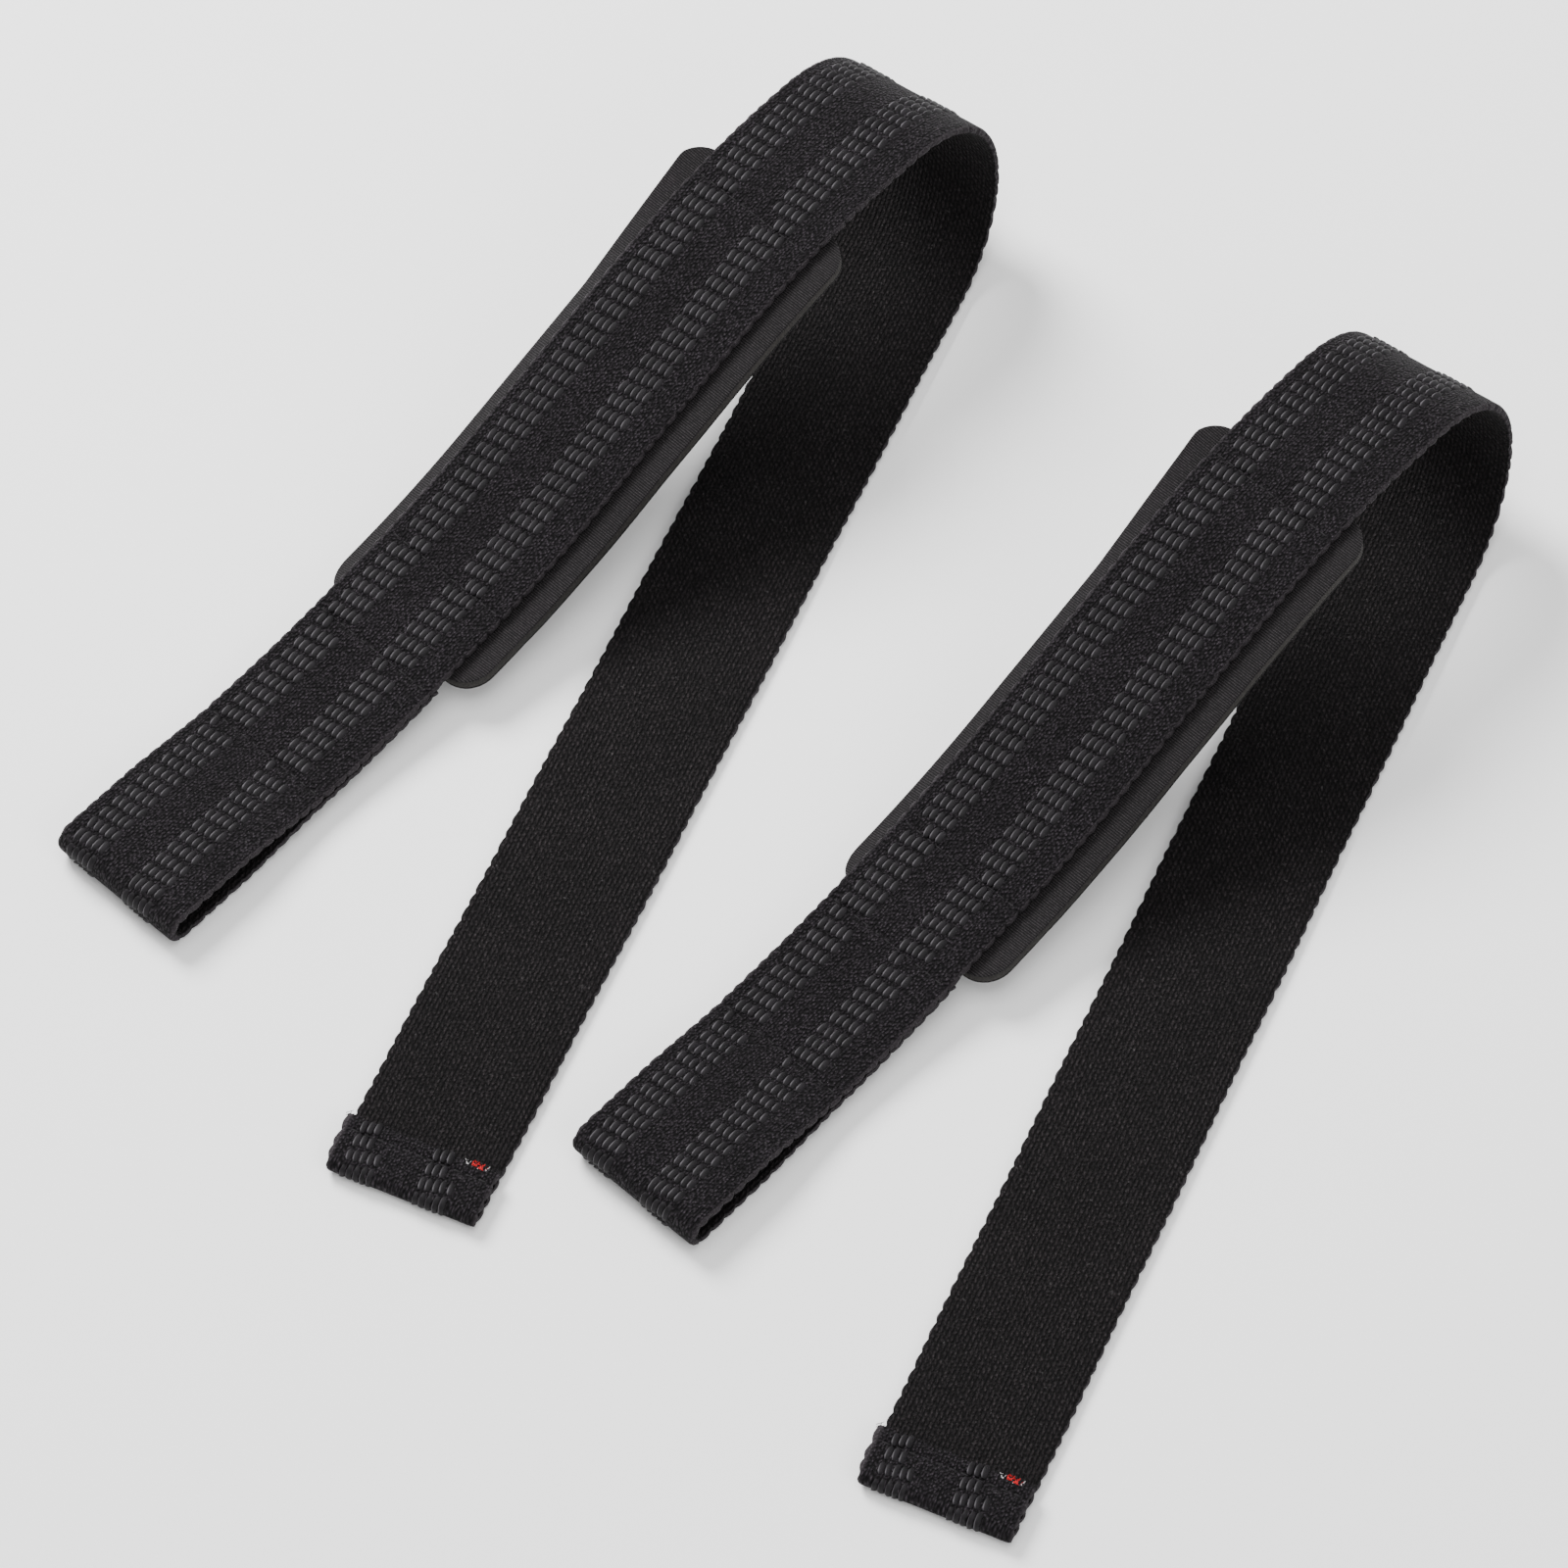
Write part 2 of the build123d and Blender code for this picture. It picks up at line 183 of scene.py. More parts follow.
# %% Lights
def soft_light(name, azimuth, elevation, distance, size, power):
    """A round white light that faces the straps."""
    lamp = bpy.data.objects.new(name, bpy.data.lights.new(name, "AREA"))
    bpy.context.scene.collection.objects.link(lamp)
    lamp.location = aim + from_angles(azimuth, elevation) * distance
    lamp.rotation_euler = (lamp.location - aim).to_track_quat("Z", "Y").to_euler()
    lamp.data.shape = "DISK"
    lamp.data.size = size
    lamp.data.energy = power


soft_light("light behind on the left", -112, 44, 1.7, 0.8, 60)
soft_light("light on the right", 75, 38, 1.9, 1.2, 12)
soft_light("light overhead", 0, 88, 2.2, 1.6, 26)
world = bpy.data.worlds.new("room")
bpy.context.scene.world = world
world.use_nodes = True
room = world.node_tree.nodes["Background"]
room.inputs["Color"].default_value = (1.0, 1.0, 1.0, 1.0)
room.inputs["Strength"].default_value = 0.7

# %% [markdown]
# ## Sums for the materials
#
# A weave is a sum of waves, and such sums are easier to read as Python than as a page of nodes. This
# class holds one output of one node. Adding or multiplying two of them puts in the Math node and
# gives back its output, so that a pattern can be written as it would be on paper.

# %% Socket maths
MIX_FACTOR, MIX_LOW, MIX_HIGH, MIX_RESULT = 0, 6, 7, 2  # the colour sockets of a Mix node


class Wire:
    """An output in a material's node tree. Sums with it add Math nodes."""

    def __init__(self, tree, output):
        self.tree, self.output = tree, output

    def node(self, kind, settings={}, inputs={}, output=0):
        """Any node: its settings first, then a value or a wire for each input that is named."""
        made = self.tree.nodes.new(kind)
        for name, value in settings.items():
            setattr(made, name, value)
        for name, value in inputs.items():
            if isinstance(value, Wire):
                self.tree.links.new(value.output, made.inputs[name])
            else:
                made.inputs[name].default_value = value
        return Wire(self.tree, made.outputs[output])

    def maths(self, operation, *values):
        return self.node("ShaderNodeMath", {"operation": operation}, dict(enumerate(values)))

    def __add__(self, other):
        return self.maths("ADD", self, other)

    def __radd__(self, other):
        return self.maths("ADD", other, self)

    def __sub__(self, other):
        return self.maths("SUBTRACT", self, other)

    def __rsub__(self, other):
        return self.maths("SUBTRACT", other, self)

    def __mul__(self, other):
        return self.maths("MULTIPLY", self, other)

    def __rmul__(self, other):
        return self.maths("MULTIPLY", other, self)

    def __truediv__(self, other):
        return self.maths("DIVIDE", self, other)

    def __pow__(self, other):
        return self.maths("POWER", self, other)

    def ridge(self, pitch):
        """0 to 1 and back once for each pitch, with round tops and sharp valleys, like yarns side by side."""
        return self.maths("ABSOLUTE", self.maths("SINE", self * (pi / pitch)))

    def step(self, low, high):
        """0 below low and 1 above high, with a soft step between them."""
        settings = {"interpolation_type": "SMOOTHSTEP"}
        return self.node("ShaderNodeMapRange", settings, {"Value": self, "From Min": low, "From Max": high})

    def noise(self, scale, detail):
        """Cloudy 0 to 1 over this wire's places, finer as the scale grows."""
        return self.node("ShaderNodeTexNoise", {}, {"Vector": self, "Scale": scale, "Detail": detail})

    def blend(self, low, high):
        """A colour between two, by this wire."""
        inputs = {MIX_FACTOR: self, MIX_LOW: low, MIX_HIGH: high}
        return self.node("ShaderNodeMix", {"data_type": "RGBA"}, inputs, MIX_RESULT)


def finish(name, dullness, sheen, colour, glint):
    """A new material with its constant values set, and a wire to start its patterns from."""
    material = bpy.data.materials.new(name)
    material.use_nodes = True
    shader = material.node_tree.nodes["Principled BSDF"]
    shader.inputs["Roughness"].default_value = dullness
    shader.inputs["Sheen Weight"].default_value = sheen
    shader.inputs["Sheen Roughness"].default_value = 0.5
    shader.inputs["Specular IOR Level"].default_value = glint
    shader.inputs["Base Color"].default_value = (*colour, 1.0)
    material.diffuse_color = (*colour, 1.0)
    return material, shader, Wire(material.node_tree, None)


def connect(material, shader, colour, roughness, height, depth, strength):
    """Leads the finished patterns into the shader. depth is the height of the relief, in metres."""
    links = material.node_tree.links
    links.new(colour.output, shader.inputs["Base Color"])
    if roughness:
        links.new(roughness.output, shader.inputs["Roughness"])
    bump = height.node("ShaderNodeBump", {}, {"Height": height, "Distance": depth, "Strength": strength})
    links.new(bump.output, shader.inputs["Normal"])
    print(material.name, "has", len(material.node_tree.nodes), "nodes")
    return material


def flat_place(start):
    """A point's place on the flat strap: all of it, and how far across, along and through."""
    flat = start.node("ShaderNodeAttribute", {"attribute_name": "flat"}, {}, "Vector")
    across = start.node("ShaderNodeSeparateXYZ", {}, {0: flat})
    along, through = (Wire(start.tree, across.output.node.outputs[axis]) for axis in "YZ")
    return flat, across, along, through


# %% [markdown]
# ## Webbing
#
# The webbing is a thick narrow cloth of black cotton and polyester. Its front has a pebbly face: each
# short yarn end is a small dome, and the domes lie unevenly over faint rows that are offset like
# bricks. Its back shows the yarns as ribs along the strap, crossed by slanting furrows. The high spots
# have a painted highlight and the low ones painted shade, varied at random in speckles and patches.
# All this could be displaced in the mesh, but at this size a bump is enough.
# A Voronoi texture gives the domes, because its cells are uneven, and waves give the rows and ribs.
# The pattern is drawn on the flat strap, before it is laid in its bend and its loop, so each point
# carries its place on the flat strap in an attribute. Lengths in the pattern are in metres.

# %% Webbing finish
# The band of the painted highlight along the woven edges.
EDGE_HIGHLIGHT_BAND = (0.0180, 0.0189)  # from the strap's middle, where its woven edge begins and is full


def webbing_finish():
    material, shader, start = finish("black_webbing", 0.85, 0.02, (0.006, 0.006, 0.007), 0.12)
    flat, across, along, through = flat_place(start)
    wobble = flat.noise(900.0, 1.0) - 0.5
    across, along = across + wobble * 0.00022, along + wobble * 0.00025

    def bricks(wide, long):
        row = start.maths("FLOOR", across / wide)
        return across.ridge(wide) * (along + row * (long * 0.5)).ridge(long)

    stretched = start.node("ShaderNodeVectorMath", {"operation": "MULTIPLY"}, {0: flat, 1: (1.0, 0.78, 1.0)})
    cells = start.node("ShaderNodeTexVoronoi", {},
                       {"Vector": stretched, "Scale": 1620.0, "Randomness": 0.85})
    domes = start.maths("MAXIMUM", 1.0 - cells * 1.35, 0.0)
    pebbles = bricks(0.00080, 0.00138) * 0.35 + domes * 0.85
    furrows = (along + across * 1.2 + flat.noise(260.0, 1.0) * 0.0028).ridge(0.00190)
    ribs = across.ridge(0.00108) * (0.25 + 0.75 * furrows) * 0.62 + domes * 0.50
    back = through.step(0.0006, 0.0009)
    height = pebbles + (ribs - pebbles) * back

    speckle = flat.noise(1500.0, 2.0).step(0.36, 0.66)
    patches = flat.noise(38.0, 3.0).step(0.3, 0.75)
    # Painted highlight and shade: the colour is paler on the high spots of the relief and darker in its low
    # ones, varied at random by speckles and patches. The same mask makes the high spots a little less rough.
    painted_highlight = (height * height * 1.3) * (0.3 + 0.7 * speckle) * (0.75 + 0.25 * patches)
    # Painted highlight: the front is painted paler along both woven edges, as if they caught the light.
    edge_highlight = start.maths("ABSOLUTE", across).step(*EDGE_HIGHLIGHT_BAND) * (1.0 - back)
    front_colour = painted_highlight.blend((0.0005, 0.0003, 0.0005, 1), (0.0370, 0.0300, 0.0368, 1))
    front_colour = (edge_highlight * 0.6).blend(front_colour, (0.0400, 0.0345, 0.0385, 1))
    back_colour = painted_highlight.blend((0.0006, 0.0004, 0.0005, 1), (0.0235, 0.0190, 0.0205, 1))
    colour = back.blend(front_colour, back_colour)
    lint = flat.noise(1300.0, 0.0).step(0.82, 0.85)
    colour = (lint * 0.3).blend(colour, (0.07, 0.066, 0.067, 1))
    return connect(material, shader, colour, 0.9 - painted_highlight * 0.2, height, 0.00056, 1.0)


black_webbing = webbing_finish()

# %% [markdown]
# ## The other finishes
#
# The grains are silicone rubber, nearly black, with a pale painted highlight along the one edge of each
# that stands out. That edge is marked in the mesh by an attribute, rim, because no texture knows where a
# grain's edge is.
# The pad is brown-grey foam between two layers of jersey, which is ribbed across the pad. The sewing
# thread is black. A few red and white marker yarns show where the tail's hem was cut.

# %% Rubber, jersey, foam and thread
def rubber_finish():
    material, shader, start = finish("dark_rubber", 0.5, 0.0, (0.007, 0.006, 0.0072), 0.2)
    place = start.node("ShaderNodeTexCoord", {}, {}, "Object")
    rim = start.node("ShaderNodeAttribute", {"attribute_name": "rim"}, {}, "Fac")
    dull, fine = place.noise(420.0, 3.0), place.noise(2600.0, 2.0)
    dust = dull.step(0.3, 0.7) * (0.4 + 0.6 * fine)
    top = dust.blend((0.0022, 0.0017, 0.0023, 1), (0.0100, 0.0082, 0.0103, 1))
    # Painted highlight: each grain's raised edge, marked by rim, is painted pale where it would catch the
    # light, varied by the dull noise.
    painted_highlight = rim.step(0.45, 0.98) * (0.5 + 0.5 * dull)
    colour = painted_highlight.blend(top, (0.1000, 0.0930, 0.1020, 1))
    return connect(material, shader, colour, 0.55 + dull * 0.2, fine, 0.00005, 0.8)


def jersey_finish():
    material, shader, start = finish("black_jersey", 0.85, 0.03, (0.010, 0.0095, 0.010), 0.15)
    flat, across, along, _ = flat_place(start)
    wobble = flat.noise(700.0, 1.0) - 0.5
    across, along = across + wobble * 0.0002, along + wobble * 0.00015
    knit = along.ridge(0.00060) ** 1.6 * (0.6 + 0.4 * across.ridge(0.00048))
    fluff = flat.noise(1900.0, 3.0).step(0.35, 0.75)
    colour = (knit * (0.4 + 0.6 * fluff)).blend((0.0008, 0.0006, 0.0008, 1), (0.0350, 0.0305, 0.0328, 1))
    return connect(material, shader, colour, None, knit, 0.00022, 1.0)


def foam_finish():
    material, shader, start = finish("cut_foam", 0.9, 0.0, (0.020, 0.019, 0.018), 0.2)
    place = start.node("ShaderNodeTexCoord", {}, {}, "Object")
    pores = start.node("ShaderNodeTexVoronoi", {}, {"Vector": place, "Scale": 2200.0})
    colour = pores.step(0.0, 0.7).blend((0.009, 0.0082, 0.0075, 1), (0.030, 0.0275, 0.0258, 1))
    return connect(material, shader, colour, None, pores, 0.00012, 0.8)


def yarn_finish(name, low, high):
    material, shader, start = finish(name, 0.75, 0.0, high[:3], 0.2)
    place = start.node("ShaderNodeTexCoord", {}, {}, "Object")
    fibres = place.noise(3200.0, 3.0)
    return connect(material, shader, fibres.step(0.3, 0.7).blend(low, high), None, fibres, 0.00008, 0.8)


dark_rubber = rubber_finish()
black_jersey = jersey_finish()
cut_foam = foam_finish()
black_thread = yarn_finish("black_thread", (0.0010, 0.0008, 0.0010, 1), (0.0110, 0.0094, 0.0110, 1))
red_yarn = yarn_finish("red_yarn", (0.30, 0.004, 0.006, 1), (0.58, 0.008, 0.012, 1))
white_yarn = yarn_finish("white_yarn", (0.28, 0.27, 0.27, 1), (0.50, 0.49, 0.49, 1))

# %% [markdown]
# ## The flat strap and where it lies
#
# A real strap is woven and sewn flat and then takes its shape, and the pieces here are made the same
# way. On the flat strap X runs across it, Y along it, and Z goes through it towards the plain back.
# Then each point is laid on the strap's line: along the tail, round the bend, down the wrist leg,
# round the loop's fold and back to the end that is sewn under the leg. The line is straight runs and
# arcs, the same as in the solid parts, and its place comes from the bend's hinges. Two runs are listed
# stretch by stretch, each with its length and the degrees that it turns through. The leg slopes down
# steeply, then gently, then lies level at the loop, whose near wall slants a little.

# %% Sizes of the strap
mm = 0.001
WIDTH, BACK = 38.0 * mm, 1.1 * mm
TAIL_LENGTH, HEM_LENGTH, HEM_RADIUS = 282.0 * mm, 12.0 * mm, 1.2 * mm
LEG_LENGTH, LOOP_LENGTH, DOUBLED_LENGTH = 262.0 * mm, 49.0 * mm, 41.0 * mm
MOUTH_CLEARANCE = 5.2 * mm
FOLD_RADIUS = MOUTH_CLEARANCE / 2 + BACK

low_hinge, high_hinge = (Vector(joints[f"left_bend_hinge_{n}"]["pos_m"]) for n in (1, 5))
hinge_turn = radians(18)
BEND_HEIGHT = (low_hinge.z + high_hinge.z) / 2
BEND_RADIUS = (high_hinge.z - low_hinge.z) / 2 / cos(hinge_turn) - BACK
across_step = (low_hinge.x - high_hinge.x) / (pi - 2 * hinge_turn)
SPLAY = atan2(across_step, BEND_RADIUS)
ORIGIN = Vector((low_hinge.x + across_step * hinge_turn,
                 low_hinge.y - (BEND_RADIUS + BACK) * sin(hinge_turn), 0))
PAIR_STEP = Vector(joints["right_bend_hinge_1"]["pos_m"]) - low_hinge
TAIL_HEIGHT, TOP_HEIGHT = BEND_HEIGHT - BEND_RADIUS, BEND_HEIGHT + BEND_RADIUS
MOUTH_HEIGHT = TAIL_HEIGHT + FOLD_RADIUS
print("bend", round(BEND_RADIUS / mm, 2), "mm, splay", round(degrees(SPLAY), 2), "pair", PAIR_STEP)

# %% The strap's line
STEEP, GENTLE = 20.9935, 9.0  # slopes of the leg, in degrees
wall_slant = degrees(MOUTH_CLEARANCE / 2 / (LOOP_LENGTH / 2 - 3 * mm))
LEG_LINE = (0.0, TOP_HEIGHT, pi), [
    (9 * mm, 0), (50 * mm, STEEP), (58.4 * mm, 0), (40 * mm, GENTLE - STEEP), (19.6 * mm, 0),
    (36 * mm, -GENTLE), (3 * mm, -wall_slant), (LOOP_LENGTH / 2 - 6 * mm, 0), (3 * mm, wall_slant),
    (LOOP_LENGTH / 2 - FOLD_RADIUS - BACK, 0), (pi / 2 * FOLD_RADIUS, 90)]
TAIL_LINE = (HEM_LENGTH - TAIL_LENGTH, TAIL_HEIGHT + 2 * HEM_RADIUS, pi), [
    (HEM_LENGTH, 0), (pi * HEM_RADIUS, 180), (TAIL_LENGTH, 0)]

BEND_END = pi * BEND_RADIUS / cos(SPLAY)  # along the strap's middle, from the bend's lower side
FOLD_APEX = LEG_LENGTH - FOLD_RADIUS - BACK + pi / 2 * FOLD_RADIUS  # these three along the leg's line
MOUTH = LEG_LENGTH - LOOP_LENGTH
MID_WALL = MOUTH + LOOP_LENGTH / 2
HEM_CUT = -TAIL_LENGTH - pi * HEM_RADIUS - HEM_LENGTH
DOUBLED_CUT = BEND_END + 2 * FOLD_APEX - (MOUTH - DOUBLED_LENGTH)


def on_line(line, along, depth):
    """Y and Z of points at distances along a line of straights and arcs, and depths to its left."""
    (y, z, heading), stretches = line
    ys, zs, at = np.zeros_like(along), np.zeros_like(along), 0.0
    for number, (length, turn) in enumerate(stretches):
        here = (along >= at) | (number == 0)
        s = (along - at)[here]
        if turn:
            radius = length / radians(turn)
            facing = heading + s / radius
            ys[here] = y + radius * (np.sin(facing) - sin(heading))
            zs[here] = z - radius * (np.cos(facing) - cos(heading))
            end = heading + radians(turn)
            y, z = y + radius * (sin(end) - sin(heading)), z - radius * (cos(end) - cos(heading))
            heading = end
        else:
            facing = np.full_like(s, heading)
            ys[here], zs[here] = y + s * cos(heading), z + s * sin(heading)
            y, z = y + length * cos(heading), z + length * sin(heading)
        ys[here] -= depth[here] * np.sin(facing)
        zs[here] += depth[here] * np.cos(facing)
        at += length
    return ys, zs


def lay(flat):
    """Where points of the flat left strap come to lie."""
    across, along, depth = np.array(flat, float).T
    c, s = cos(SPLAY), sin(SPLAY)
    travel = c * along + s * across
    turn = travel / BEND_RADIUS
    laid = np.stack([c * across - s * along, (BEND_RADIUS - depth) * np.sin(turn),
                     BEND_HEIGHT - (BEND_RADIUS - depth) * np.cos(turn)], 1)
    y, z = on_line(TAIL_LINE, along - HEM_CUT, depth)
    tail = travel < 0
    laid[tail] = np.stack([c * across - s * y, s * across + c * y, z], 1)[tail]
    down = along - BEND_END
    under = down > FOLD_APEX
    sewn = under & (2 * FOLD_APEX - down < MOUTH)
    down = np.where(under, 2 * FOLD_APEX - down, down)
    y, z = on_line(LEG_LINE, down, np.where(sewn, 2 * BACK - depth, depth))
    z = np.where(under & ~sewn, 2 * MOUTH_HEIGHT - z, z)
    leg = travel > pi * BEND_RADIUS
    x = c * across + s * y - pi * BEND_RADIUS * tan(SPLAY)
    laid[leg] = np.stack([x, c * y - s * across, z], 1)[leg]
    return laid + np.array(ORIGIN)


def points(piece):
    """A mesh's vertices as an array."""
    found = np.empty(len(piece.data.vertices) * 3)
    piece.data.vertices.foreach_get("co", found)
    return found.reshape(-1, 3)


def move_points(piece, places):
    piece.data.vertices.foreach_set("co", np.asarray(places, float).ravel())
    piece.data.update()


def lay_piece(piece):
    """Keeps each point's place on the flat strap as an attribute, then lays the piece on its line."""
    flat = points(piece)
    kept = piece.data.attributes.new("flat", "FLOAT_VECTOR", "POINT")
    kept.data.foreach_set("vector", flat.astype(np.float32).ravel())
    move_points(piece, lay(flat))
    return piece


print("flat strap", round((DOUBLED_CUT - HEM_CUT) / mm, 1), "mm long")

# %% [markdown]
# ## The webbing
#
# The strap moves at five places in its bend and at two in each wall of the loop, and cloth can only
# be bent across one joint at a time. So the webbing is made in nine lengths that meet exactly, each
# from the middle of one stiff link to the middle of the next. A length starts as a flat grid. Its
# edges are waved where the weft turns back, a Solidify modifier gives it thickness, and the corners
# of its section are rounded. Only then is it laid on the strap's line. Cutting one long strip would
# do as well, but the ends in the bend must lie along its axis, which is easier before laying.

# %% Where each length begins and ends
FLOAT_PITCH = 4.07 * mm


def bend_at(degrees_round):
    return radians(degrees_round) * BEND_RADIUS / cos(SPLAY)


def leg_at(distance):
    return BEND_END + distance


def doubled_at(distance):
    """The place on the flat strap, past the loop's fold, that lies under a distance on the leg."""
    return BEND_END + 2 * FOLD_APEX - distance


MID_NEAR = MOUTH + LOOP_LENGTH / 4
LAST_ON_LEG = MOUTH - 14 * mm
LENGTHS = {  # name: start, end, slant of the start and of the end, and the bodies that it bends between
    "tail": (HEM_CUT, bend_at(36), 0, 1, "tail", "bend_1"),
    "bend_low": (bend_at(36), bend_at(72), 1, 1, "bend_1", "bend_2"),
    "bend_middle": (bend_at(72), bend_at(108), 1, 1, "bend_2", "bend_3"),
    "bend_high": (bend_at(108), bend_at(144), 1, 1, "bend_3", "bend_4"),
    "wrist": (bend_at(144), leg_at(LAST_ON_LEG), 1, 0, "bend_4", "wrist"),
    "mouth_upper": (leg_at(LAST_ON_LEG), leg_at(MID_NEAR), 0, 0, "wrist", "loop_upper_near"),
    "loop_upper": (leg_at(MID_NEAR), leg_at(FOLD_APEX), 0, 0, "loop_upper_near", "loop_upper_far"),
    "loop_lower": (leg_at(FOLD_APEX), doubled_at(MID_NEAR), 0, 0, "loop_lower_far", "loop_lower_near"),
    "doubled": (doubled_at(MID_NEAR), DOUBLED_CUT, 0, 0, "loop_lower_near", "wrist"),
}
STANDS_FOR = {
    "tail": ["tail_webbing", "hem"], "bend_low": ["bend_link_1"], "bend_middle": ["bend_link_2"],
    "bend_high": ["bend_link_3"], "wrist": ["bend_link_4", "wrist_webbing"],
    "mouth_upper": ["loop_upper_near"], "loop_upper": ["loop_upper_far"],
    "loop_lower": ["loop_lower_far"], "doubled": ["loop_lower_near", "doubled_end"],
}
TURNS_OVER = {  # where along the flat strap each length does its turning
    "tail": (bend_at(3), bend_at(33)), "bend_low": (bend_at(39), bend_at(69)),
    "bend_middle": (bend_at(75), bend_at(105)), "bend_high": (bend_at(111), bend_at(141)),
    "wrist": (bend_at(147), bend_at(177)),
    "mouth_upper": (leg_at(MOUTH - 3 * mm), leg_at(MOUTH + 8 * mm)),
    "loop_upper": (leg_at(MID_WALL - 8 * mm), leg_at(MID_WALL + 8 * mm)),
    "loop_lower": (doubled_at(MID_WALL + 8 * mm), doubled_at(MID_WALL - 8 * mm)),
    "doubled": (doubled_at(MOUTH + 8 * mm), doubled_at(MOUTH - 3 * mm)),
}


def slant_at(name, along):
    """How much the rows at a place follow the bend's axis: 0 is square to the strap, 1 is fully."""
    start, end, first, last = LENGTHS[name][:4]
    reach = min(50 * mm, end - start)  # the rows come square again over this distance
    near_start = np.clip((start + reach - along) / reach, 0, 1)
    near_end = np.clip((along - end + reach) / reach, 0, 1)
    return np.maximum(first * near_start, last * near_end)


# %% Flat webbing
CELLS_ACROSS, ROWS_PER_FLOAT = 34, 8


def webbing_length(name):
    start, end = LENGTHS[name][:2]
    rows = max(8, round((end - start) / FLOAT_PITCH * ROWS_PER_FLOAT))
    deselect()
    bpy.ops.mesh.primitive_grid_add(x_subdivisions=CELLS_ACROSS, y_subdivisions=rows, size=1.0)
    piece = new_piece(f"left_webbing_{name}")
    flat = points(piece)
    side, along = flat[:, 0] * 2, start + (flat[:, 1] + 0.5) * (end - start)
    across = np.sign(side) * (1 - (1 - np.abs(side)) ** 1.35) * WIDTH / 2  # closer rows at the edges
    edge = np.abs(across) / (WIDTH / 2)
    # The selvedge has a scallop for each float, uneven in length, and wavers slowly along the strap.
    wave = np.abs(np.sin(pi * along / FLOAT_PITCH + 0.25 * np.sin(along * 611) + (across > 0) * 1.1))
    across *= 1 + (0.036 * wave - 0.029 + 0.006 * np.sin(along * 97 + side)) * edge ** 8
    along -= slant_at(name, along) * tan(SPLAY) * across
    move_points(piece, np.stack([across, along, np.zeros_like(across)], 1))
    finish_with(piece, "SOLIDIFY", thickness=2 * BACK, offset=0.0, use_even_offset=True)
    return piece


def round_the_edges(piece):
    """Rounds the selvedges and lets both faces swell and sink a little with the floats."""
    flat = points(piece)
    from_edge = np.clip((WIDTH / 2 - np.abs(flat[:, 0])) / (1.2 * mm), 0, 1)
    full = np.sqrt(1 - (1 - from_edge) ** 2) * 0.72 + 0.28
    ripple = 0.03 * np.sin(2 * pi * flat[:, 1] / FLOAT_PITCH) * np.cos(flat[:, 0] * 700)
    flat[:, 2] *= full * (1 + ripple)
    move_points(piece, flat)
    return piece


webbing = {name: round_the_edges(webbing_length(name)) for name in LENGTHS}
for name, piece in webbing.items():
    print(piece.name, len(piece.data.polygons), "faces")

# %% [markdown]
# ### Dents of the sewing
#
# A row of sewing pulls the thick cloth in, so the front face is moved towards the middle of the cloth
# along each row, deepest under the middle of each stitch. A crease could be cut and bevelled by hand,
# but a smooth bell-shaped dent is what thread pulls into cloth. The hem is pressed flat and spreads a
# little past the left edge, and its cut edge wavers and is thinner.

# %% Sewn rows
PAD_START, PAD_LENGTH, PAD_WIDTH = 94.0 * mm, 141.0 * mm, 51.0 * mm
ROWS_ON_LEG = {
    "mouth": MOUTH - 1.6 * mm, "doubled end": MOUTH - DOUBLED_LENGTH + 2.4 * mm,
    "pad near": LEG_LENGTH - PAD_START - 19 * mm, "pad far": LEG_LENGTH - PAD_START - PAD_LENGTH + 8 * mm,
}
HEM_ROW = HEM_CUT + 3.6 * mm
UNDER_HEM_ROW = HEM_CUT + 2 * HEM_LENGTH + pi * HEM_RADIUS - 3.6 * mm
all_rows = [leg_at(at) for at in ROWS_ON_LEG.values()] + [HEM_ROW, UNDER_HEM_ROW]
all_rows += [doubled_at(ROWS_ON_LEG["mouth"]), doubled_at(ROWS_ON_LEG["doubled end"])]
DENT_DEPTH = 0.42  # a share of half the cloth's thickness
DENT_REACH, DENT_PITCH = 1.15 * mm, 3.2 * mm


def dent(piece):
    flat = points(piece)
    for row in all_rows:
        near = np.exp(-(((flat[:, 1] - row) / DENT_REACH) ** 2))
        pull = near * DENT_DEPTH * (0.75 + 0.25 * np.cos(2 * pi * flat[:, 0] / DENT_PITCH))
        flat[:, 2] *= 1 - pull * (flat[:, 2] < 0)
    move_points(piece, flat)


for piece in webbing.values():
    dent(piece)
print("rows of sewing", len(all_rows))

# %% The hem's spread and its cut edge
flat = points(webbing["tail"])
along_hem = np.clip((HEM_CUT + HEM_LENGTH + 2 * mm - flat[:, 1]) / (5 * mm), 0, 1)
spread = (0.75 + 0.35 * np.clip((HEM_CUT + 2.5 * mm - flat[:, 1]) / (2.5 * mm), 0, 1)) * mm
flat[:, 0] -= along_hem * spread * np.clip(-flat[:, 0] / (WIDTH / 2), 0, 1) ** 6
at_cut = np.clip((HEM_CUT + 2 * mm - flat[:, 1]) / (2 * mm), 0, 1)
flat[:, 1] += at_cut * (0.28 * np.sin(flat[:, 0] * 820) + 0.2 * np.sin(flat[:, 0] * 2100 + 1)) * mm
flat[:, 2] *= 1 - 0.35 * at_cut
move_points(webbing["tail"], flat)
print("hem spreads to", round(flat[:, 0].min() / mm, 2), "mm")

# %% [markdown]
# ## The rubber grains
#
# Each rubber cord floats over four weft yarns and dives under the next, so what shows is a row of
# oval grains. Each is tilted, so that its left edge stands over its neighbour, and leans by a few
# degrees. Making the cords whole would hide part of their length inside the cloth, so only the floats
# are made: one grain from a sphere of few faces, blunted at its tips, flattened and turned, then
# repeated by three Array modifiers. Each copy is then nudged a little, because no two lie alike.
# Where a row of sewing crosses, the rubber is pressed out of sight, and the grains are left out.

